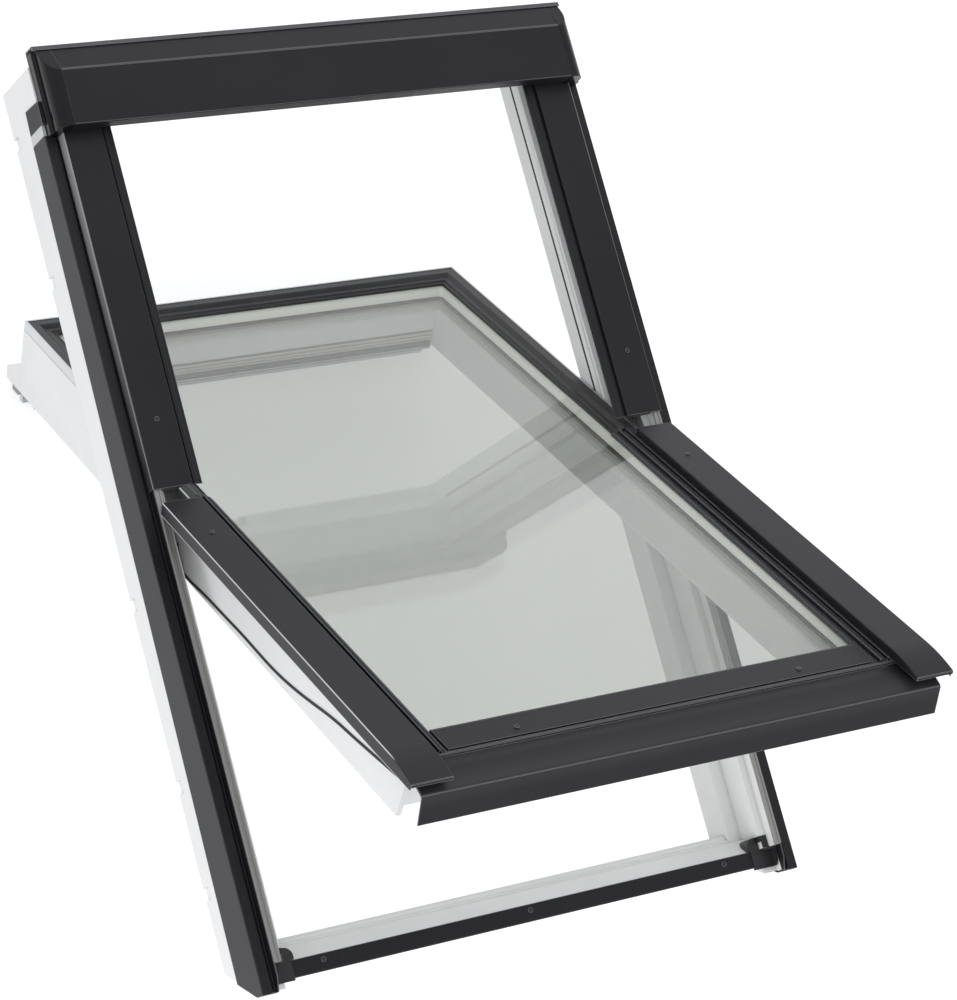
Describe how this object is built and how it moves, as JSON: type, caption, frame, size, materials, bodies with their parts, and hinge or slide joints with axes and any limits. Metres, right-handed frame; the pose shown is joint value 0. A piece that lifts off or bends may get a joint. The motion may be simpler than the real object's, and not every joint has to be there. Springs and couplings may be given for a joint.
{
  "type": "centre-pivot roof skylight",
  "caption": "White framed roof skylight with dark metal covers; its glazed sash swings about its middle on arc hinges, with a control bar and latch at the top rail.",
  "frame": {"origin": "centre of the frame's room-side face, on the window's middle line", "axes": "+X across the window to the right seen from outside, +Y up the roof slope to the head, +Z out of the roof"},
  "size_m": [0.7812, 1.2032, 0.909],
  "materials": {
    "white_plastic": "satin white",
    "dark_cover": "satin dark grey",
    "black_plastic": "matte black",
    "light_strip": "light grey",
    "bracket_plate": "satin grey",
    "black_rubber": "matte",
    "clear_glass": "clear, faint green",
    "spacer": "matte beige",
    "bare_aluminium": "mill finish",
    "grey_plastic": "matte grey",
    "steel": "zinc plated",
    "screw_cap": "satin dark grey"
  },
  "bodies": {
    "frame": {"frame_head": "white_plastic", "frame_screws": "screw_cap", "frame_seal_left": "black_rubber", "frame_seal_right": "black_rubber", "frame_side_left": "white_plastic", "frame_side_right": "white_plastic", "frame_sill": "white_plastic", "frame_strip_left": "light_strip", "frame_strip_right": "light_strip", "head_hood": "dark_cover", "hinge_guide_left": "steel", "hinge_guide_right": "steel", "hood_bracket_left": "bracket_plate", "hood_bracket_right": "bracket_plate", "hood_end_cap_left": "dark_cover", "hood_end_cap_right": "dark_cover", "hood_rear_strip": "black_plastic", "latch_keeper": "steel", "side_cladding_left": "dark_cover", "side_cladding_right": "dark_cover", "sill_cladding": "dark_cover", "sill_corner_left": "black_plastic", "sill_corner_right": "black_plastic", "upper_cover_rail_left": "light_strip", "upper_cover_rail_right": "light_strip", "upper_side_cover_left": "dark_cover", "upper_side_cover_right": "dark_cover"},
    "sash": {"sash_side_left": "white_plastic", "sash_side_right": "white_plastic", "sash_top_rail": "white_plastic", "sash_bottom_rail": "white_plastic", "outer_pane": "clear_glass", "inner_pane": "clear_glass", "spacer_bar": "spacer", "glass_seal": "black_rubber", "side_glazing_strip_left": "black_plastic", "side_glazing_strip_right": "black_plastic", "top_glazing_strip": "black_plastic", "edge_strip": "bare_aluminium", "lower_side_cover_left": "dark_cover", "lower_side_cover_right": "dark_cover", "lower_cover_rail_left": "light_strip", "lower_cover_rail_right": "light_strip", "lower_inner_strip_left": "dark_cover", "lower_inner_strip_right": "dark_cover", "bottom_cover": "dark_cover", "bottom_gasket": "black_rubber", "sash_screws": "screw_cap", "sash_seal_left": "black_rubber", "sash_seal_right": "black_rubber", "sash_corner_gasket_left": "black_rubber", "sash_corner_gasket_right": "black_rubber", "hinge_rail_left": "steel", "hinge_rail_right": "steel", "control_bar_ends": "grey_plastic"},
    "left_slide": {"hinge_slide_left": "steel"},
    "right_slide": {"hinge_slide_right": "steel"},
    "control_bar": {"control_bar": "bare_aluminium"},
    "latch_bolt": {"latch_bolt": "steel"}
  },
  "joints": [
    {"name": "sash_pivot", "type": "hinge", "parent": "frame", "child": "sash", "pos_m": [0, 0.035, 0.135], "axis": [-1, 0, 0], "range_deg": [-45, 115]},
    {"name": "left_slide_pivot", "type": "hinge", "parent": "frame", "child": "left_slide", "pos_m": [0, 0.035, 0.135], "axis": [-1, 0, 0], "range_deg": [-22.6, 57.6]},
    {"name": "right_slide_pivot", "type": "hinge", "parent": "frame", "child": "right_slide", "pos_m": [0, 0.035, 0.135], "axis": [-1, 0, 0], "range_deg": [-22.6, 57.6]},
    {"name": "control_bar_hinge", "type": "hinge", "parent": "sash", "child": "control_bar", "pos_m": [0, 0.29592, -0.33523], "axis": [-1, 0, 0], "range_deg": [0, 62]},
    {"name": "latch_slide", "type": "slide", "parent": "sash", "child": "latch_bolt", "axis": [0, 0.7071, -0.7071], "range_m": [0, 0.0081]}
  ],
  "couplings": [
    {"joint": "left_slide_pivot", "follows": "sash_pivot", "ratio": 0.5},
    {"joint": "right_slide_pivot", "follows": "sash_pivot", "ratio": 0.5},
    {"joint": "latch_slide", "follows": "control_bar_hinge", "m_per_rad": 0.0074}
  ]
}
